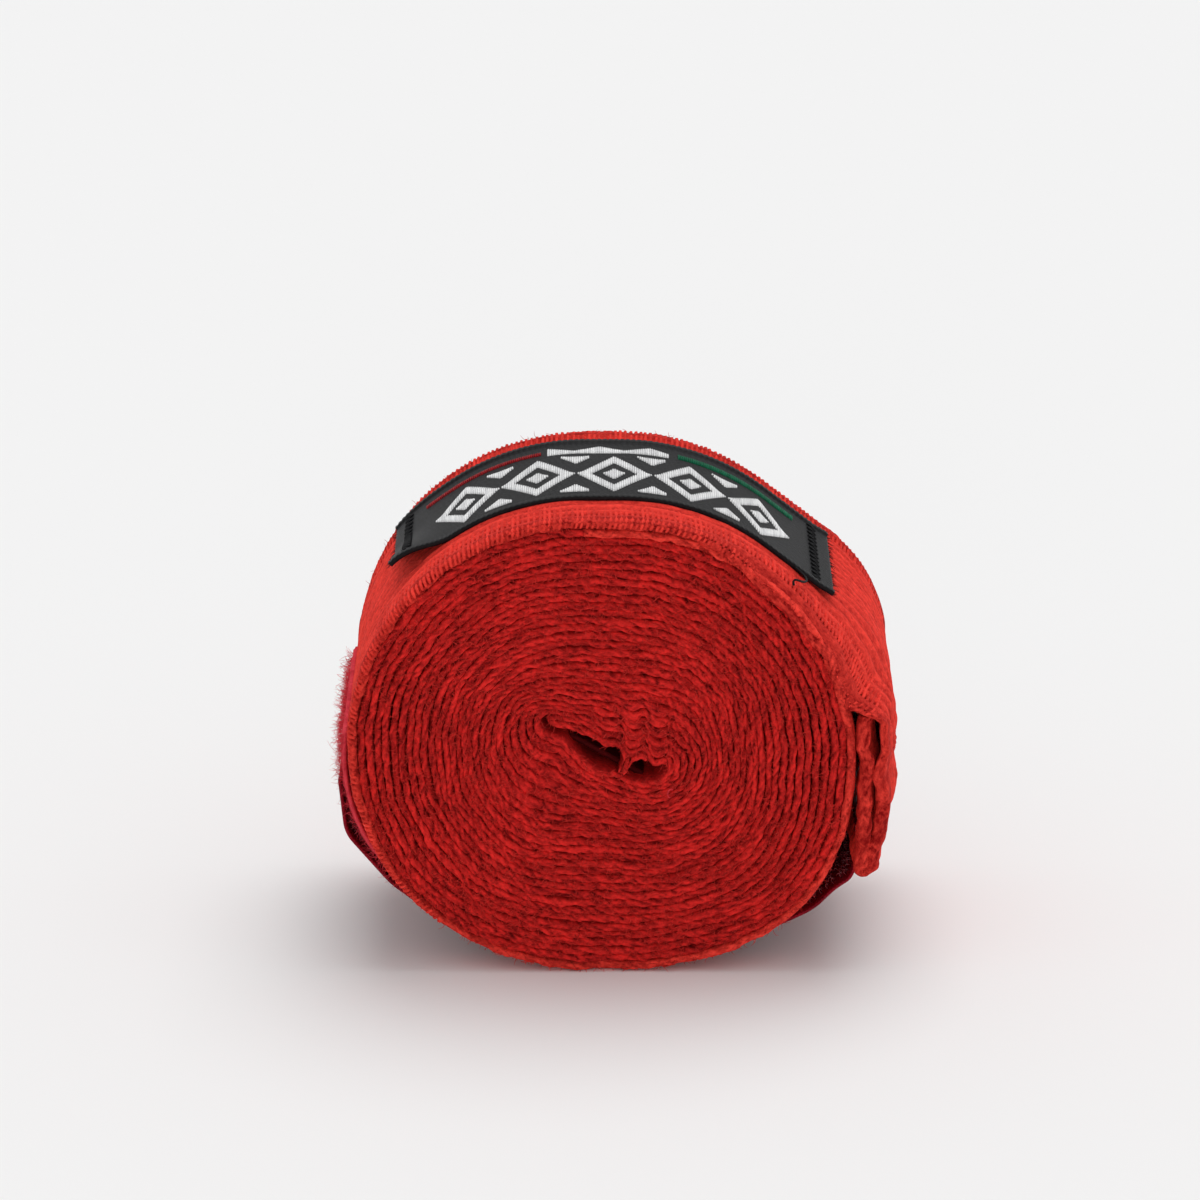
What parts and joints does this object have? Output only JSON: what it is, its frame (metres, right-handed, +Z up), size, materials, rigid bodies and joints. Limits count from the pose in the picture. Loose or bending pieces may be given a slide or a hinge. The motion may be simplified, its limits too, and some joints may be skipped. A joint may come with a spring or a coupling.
{
  "type": "hand wrap",
  "caption": "Red elastic boxing hand wrap wound into a roll standing on its rim, closed by a hook tape; the tape peels open and the loose end lifts.",
  "frame": {"origin": "on the surface that the roll stands on, under the middle of its bounding box", "axes": "+Z up, Y along the roll's axis with the front face towards -Y, +X towards the hem"},
  "size_m": [0.0868, 0.05, 0.0739],
  "materials": {
    "bandage": "brushed woolly red elastic cotton weave, matt",
    "hook_backing": "flat crimson nylon tape, faint sheen",
    "hooks": "shiny half-clear monofilament hooks",
    "loop_backing": "red knitted nylon backing",
    "loop_pile": "fuzzy red loop pile",
    "label": "black woven satin twill with thin coloured lines",
    "label_border": "black ribbed woven border",
    "black_thread": "black polyester sewing thread",
    "red_thread": "red polyester sewing thread",
    "loop_tape": "red cotton tape"
  },
  "bodies": {
    "roll": {"bandage_roll": "bandage", "loop_patch": "loop_backing", "loop_pile": "loop_pile", "loop_patch_stitching": "red_thread", "woven_label": "label", "label_borders": "label_border", "label_stitching": "black_thread", "label_thread_tail": "black_thread", "thumb_loop": "loop_tape", "thumb_loop_stitching": "red_thread"},
    "loose_end": {"bandage_tail": "bandage", "end_hem": "bandage", "hem_stitching": "red_thread", "hook_tape_root": "hook_backing", "hook_tape_stitching": "red_thread"},
    "tape_lower": {"hook_tape_lower": "hook_backing", "hooks_lower": "hooks"},
    "tape_under": {"hook_tape_under": "hook_backing", "hooks_under": "hooks"},
    "tape_left": {"hook_tape_left": "hook_backing", "hooks_left": "hooks"},
    "tape_tip": {"hook_tape_tip": "hook_backing", "hooks_tip": "hooks"}
  },
  "joints": [
    {"name": "loose_end_lift", "type": "hinge", "parent": "roll", "child": "loose_end", "pos_m": [0.0341, 0, 0.05666], "axis": [0, -1, 0], "range_deg": [0, 50]},
    {"name": "tape_lower_peel", "type": "hinge", "parent": "loose_end", "child": "tape_lower", "pos_m": [0.03809, 0, 0.0162], "axis": [0, -1, 0], "range_deg": [0, 50]},
    {"name": "tape_under_peel", "type": "hinge", "parent": "tape_lower", "child": "tape_under", "pos_m": [0.00896, 0, 0.00112], "axis": [0, -1, 0], "range_deg": [0, 75]},
    {"name": "tape_left_peel", "type": "hinge", "parent": "tape_under", "child": "tape_left", "pos_m": [-0.01651, 0, 0.00185], "axis": [0, -1, 0], "range_deg": [0, 38]},
    {"name": "tape_tip_peel", "type": "hinge", "parent": "tape_left", "child": "tape_tip", "pos_m": [-0.0413, 0, 0.01927], "axis": [0, -1, 0], "range_deg": [0, 35]}
  ],
  "couplings": [
    {"joint": "tape_lower_peel", "follows": "loose_end_lift", "ratio": 1},
    {"joint": "tape_under_peel", "follows": "loose_end_lift", "ratio": 1.5},
    {"joint": "tape_left_peel", "follows": "loose_end_lift", "ratio": 0.76},
    {"joint": "tape_tip_peel", "follows": "loose_end_lift", "ratio": 0.7}
  ]
}
